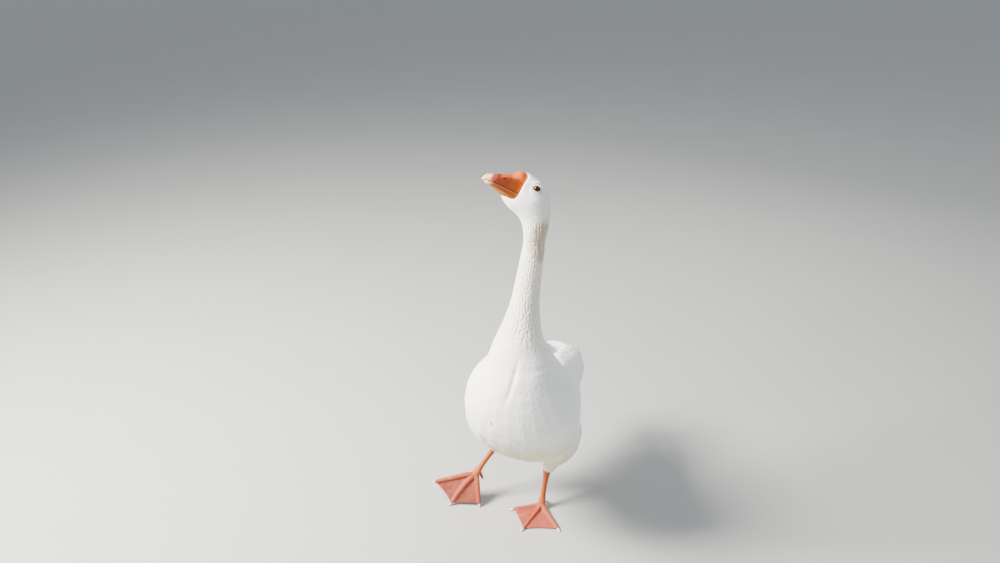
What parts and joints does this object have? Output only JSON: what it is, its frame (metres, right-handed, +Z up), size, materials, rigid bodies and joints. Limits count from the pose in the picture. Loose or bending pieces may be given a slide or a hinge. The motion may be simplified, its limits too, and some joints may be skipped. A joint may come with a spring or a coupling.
{
  "type": "domestic goose",
  "caption": "Life-size still model of a white knobbed domestic goose in mid-step, its long neck upright and its head turned aside.",
  "frame": {"origin": "centre of the bounding box on the floor the goose stands on", "axes": "+Z up; the goose's body faces -Y, its own left side is towards +X, and its head is turned towards -X"},
  "size_m": [0.362, 0.4698, 0.8392],
  "materials": {
    "plumage": "soft matt feathers",
    "bill": "satin horny skin",
    "horn": "satin horn",
    "eye": "wet gloss",
    "skin": "scaly satin skin",
    "web": "wrinkled satin skin"
  },
  "bodies": {
    "root": {"bill_knob": "bill", "bill_lower": "bill", "bill_nail": "horn", "bill_upper": "bill", "claw_hallux_left": "horn", "claw_hallux_right": "horn", "claw_inner_left": "horn", "claw_inner_right": "horn", "claw_middle_left": "horn", "claw_middle_right": "horn", "claw_outer_left": "horn", "claw_outer_right": "horn", "eye_left": "eye", "eye_right": "eye", "hallux_left": "skin", "hallux_right": "skin", "head": "plumage", "neck_lower": "plumage", "neck_middle": "plumage", "neck_upper": "plumage", "primaries_left": "plumage", "primaries_right": "plumage", "shank_left": "skin", "shank_right": "skin", "tail": "plumage", "thigh_left": "plumage", "thigh_right": "plumage", "toe_inner_left": "skin", "toe_inner_right": "skin", "toe_middle_left": "skin", "toe_middle_right": "skin", "toe_outer_left": "skin", "toe_outer_right": "skin", "trunk": "plumage", "web_inner_left": "web", "web_inner_right": "web", "web_outer_left": "web", "web_outer_right": "web", "wing_left": "plumage", "wing_right": "plumage"}
  },
  "joints": []
}
